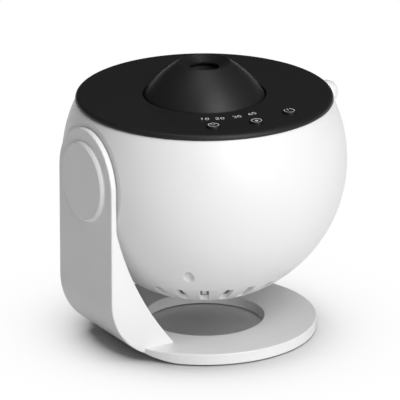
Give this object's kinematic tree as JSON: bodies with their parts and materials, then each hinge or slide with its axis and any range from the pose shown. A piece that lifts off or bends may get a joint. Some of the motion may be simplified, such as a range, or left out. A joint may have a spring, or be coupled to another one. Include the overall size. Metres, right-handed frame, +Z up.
{
  "type": "planetarium projector",
  "caption": "Tabletop planetarium projector: a lidded spherical head with a turning focus cone, tilting on a one-armed ring stand.",
  "frame": {"origin": "on the table, at the centre of the base ring", "axes": "+Z up, the lens looking up at rest; the arm stands at -X and the pivot runs along X; the buttons are towards -Y, the power inlet towards +Y, and the film tray pulls out along +X"},
  "size_m": [0.1601, 0.155, 0.1525],
  "materials": {
    "white_casing": "satin white moulded ABS with a very fine spark texture",
    "black_plate": "satin black moulded ABS",
    "button_black": "satin black ABS with a pale printed ring",
    "inner_black": "matt black moulded plastic",
    "inner_white": "matt white moulded plastic",
    "base_grey": "matt pale moulded plastic",
    "gear_nylon": "natural nylon",
    "bush_acetal": "natural acetal",
    "washer_fibre": "dark pressed fibre",
    "plated_steel": "zinc-plated steel",
    "weight_steel": "plain sheet steel",
    "motor_steel": "drawn steel can",
    "sink_aluminium": "extruded aluminium, bright",
    "lens_glass": "coated optical glass",
    "film_print": "printed film between clear sheets",
    "foot_rubber": "matt black rubber",
    "board_green": "green solder mask",
    "board_white": "white solder mask on aluminium",
    "parts_black": "black moulded component bodies",
    "emitter_yellow": "yellow phosphor under clear silicone"
  },
  "bodies": {
    "stand": {"stand_frame": "white_casing", "base_weight": "weight_steel", "base_cover": "base_grey", "foot_ring": "foot_rubber", "base_screws": "plated_steel", "pivot_bush": "bush_acetal", "disc_spring": "plated_steel", "pivot_cap": "white_casing"},
    "head": {"pivot_hub": "plated_steel", "friction_washer": "washer_fibre", "pivot_nut": "plated_steel", "hub_screws": "plated_steel", "bowl_shell": "white_casing", "vent_baffle": "inner_white", "power_jack": "parts_black", "jack_nut": "plated_steel", "top_plate": "black_plate", "plate_screws": "plated_steel", "control_board": "board_green", "button_switches": "parts_black", "control_screws": "plated_steel", "lens_guide": "inner_black", "guide_screws": "plated_steel", "chassis": "inner_black", "bowl_screws": "plated_steel", "drive_motor": "motor_steel", "motor_screws": "plated_steel", "lamp_tube": "inner_black", "condenser_lens": "lens_glass", "led_board": "board_white", "led_emitter": "emitter_yellow", "heat_sink": "sink_aluminium", "lamp_screws": "plated_steel", "fan_frame": "parts_black", "fan_screws": "plated_steel", "main_board": "board_green", "board_parts": "parts_black", "board_screws": "plated_steel"},
    "focus_cone": {"focus_cone": "black_plate"},
    "lens": {"lens_barrel": "inner_black", "front_lens": "lens_glass", "front_lens_ring": "inner_black", "rear_lens": "lens_glass", "rear_lens_ring": "inner_black"},
    "tray": {"disc_tray": "inner_black", "tray_front": "white_casing", "tray_screws": "plated_steel"},
    "disc": {"disc_gear": "gear_nylon", "film_disc": "film_print"},
    "pinion": {"drive_pinion": "gear_nylon", "motor_shaft": "plated_steel"},
    "fan": {"fan_rotor": "parts_black"},
    "timer_button": {"timer_button": "button_black"},
    "mode_button": {"mode_button": "button_black"},
    "power_button": {"power_button": "button_black"}
  },
  "joints": [
    {"name": "head_tilt", "type": "hinge", "parent": "stand", "child": "head", "pos_m": [0, 0, 0.0973], "axis": [1, 0, 0], "range_deg": [-90, 90]},
    {"name": "focus_turn", "type": "hinge", "parent": "head", "child": "focus_cone", "pos_m": [0, 0, 0.1317], "axis": [0, 0, 1], "range_deg": [-100, 100]},
    {"name": "focus_lift", "type": "slide", "parent": "head", "child": "lens", "axis": [0, 0, 1], "range_m": [-0.00201, 0.00201]},
    {"name": "tray_slide", "type": "slide", "parent": "head", "child": "tray", "axis": [1, 0, 0], "range_m": [0, 0.1]},
    {"name": "disc_spin", "type": "hinge", "parent": "tray", "child": "disc", "pos_m": [0, 0, 0.12105], "axis": [0, 0, 1], "continuous": true},
    {"name": "pinion_spin", "type": "hinge", "parent": "head", "child": "pinion", "pos_m": [-0.03055, 0, 0.12105], "axis": [0, 0, 1], "continuous": true},
    {"name": "fan_spin", "type": "hinge", "parent": "head", "child": "fan", "pos_m": [0, 0, 0.0577], "axis": [0, 0, 1], "continuous": true},
    {"name": "timer_press", "type": "slide", "parent": "head", "child": "timer_button", "axis": [0, 0, -1], "range_m": [0, 0.0007], "stiffness_N_per_m": 1500, "springref_m": -0.0005},
    {"name": "mode_press", "type": "slide", "parent": "head", "child": "mode_button", "axis": [0, 0, -1], "range_m": [0, 0.0007], "stiffness_N_per_m": 1500, "springref_m": -0.0005},
    {"name": "power_press", "type": "slide", "parent": "head", "child": "power_button", "axis": [0, 0, -1], "range_m": [0, 0.0007], "stiffness_N_per_m": 1500, "springref_m": -0.0005}
  ],
  "couplings": [
    {"joint": "focus_lift", "follows": "focus_turn", "m_per_rad": -0.0011459},
    {"joint": "pinion_spin", "follows": "disc_spin", "ratio": -5.3333}
  ]
}
